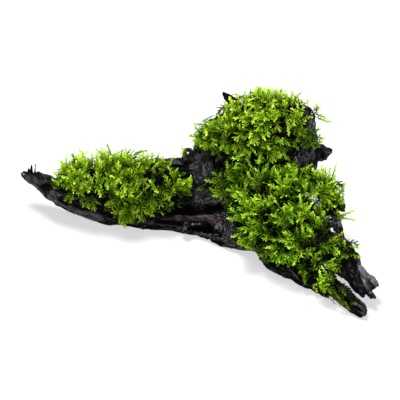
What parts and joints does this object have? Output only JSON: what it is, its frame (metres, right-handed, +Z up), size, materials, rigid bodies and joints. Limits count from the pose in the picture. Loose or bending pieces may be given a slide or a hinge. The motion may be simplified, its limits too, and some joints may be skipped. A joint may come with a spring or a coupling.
{
  "type": "christmas moss on driftwood",
  "caption": "Branching piece of nearly black driftwood with a long arm, an upright lobe and a forked root, grown over by cushions of feathery green aquarium moss.",
  "frame": {"origin": "centre of the footprint of the whole piece, on the plane that the wood rests on", "axes": "+X from the tip of the left arm towards the forked right root, +Z up, -Y the side that carries most of the moss"},
  "size_m": [0.2078, 0.1482, 0.079],
  "materials": {
    "wood": "dark, weathered, slightly damp satin",
    "wood_pale": "weathered grey grain, satin",
    "moss_bright": "fine feathery leaves, translucent",
    "moss_deep": "fine feathery leaves, translucent"
  },
  "bodies": {
    "root": {"driftwood_trunk": "wood", "driftwood_left_arm": "wood", "driftwood_upper_lobe": "wood", "driftwood_horn": "wood", "driftwood_side_nub": "wood", "driftwood_loop_branch": "wood", "driftwood_right_root": "wood", "driftwood_lower_prong": "wood_pale", "driftwood_middle_prong": "wood", "driftwood_end_prong": "wood_pale", "moss_arm_outer": "moss_bright", "moss_arm_middle": "moss_bright", "moss_arm_hanging": "moss_deep", "moss_arm_inner": "moss_bright", "moss_lobe_left": "moss_bright", "moss_lobe_front": "moss_bright", "moss_lobe_crown": "moss_bright", "moss_lobe_back": "moss_deep", "moss_trunk_upper": "moss_deep", "moss_trunk_lower": "moss_bright", "moss_shoulder": "moss_bright", "moss_root_front": "moss_bright", "moss_root_back": "moss_deep", "moss_prong_fringe": "moss_deep"}
  },
  "joints": []
}
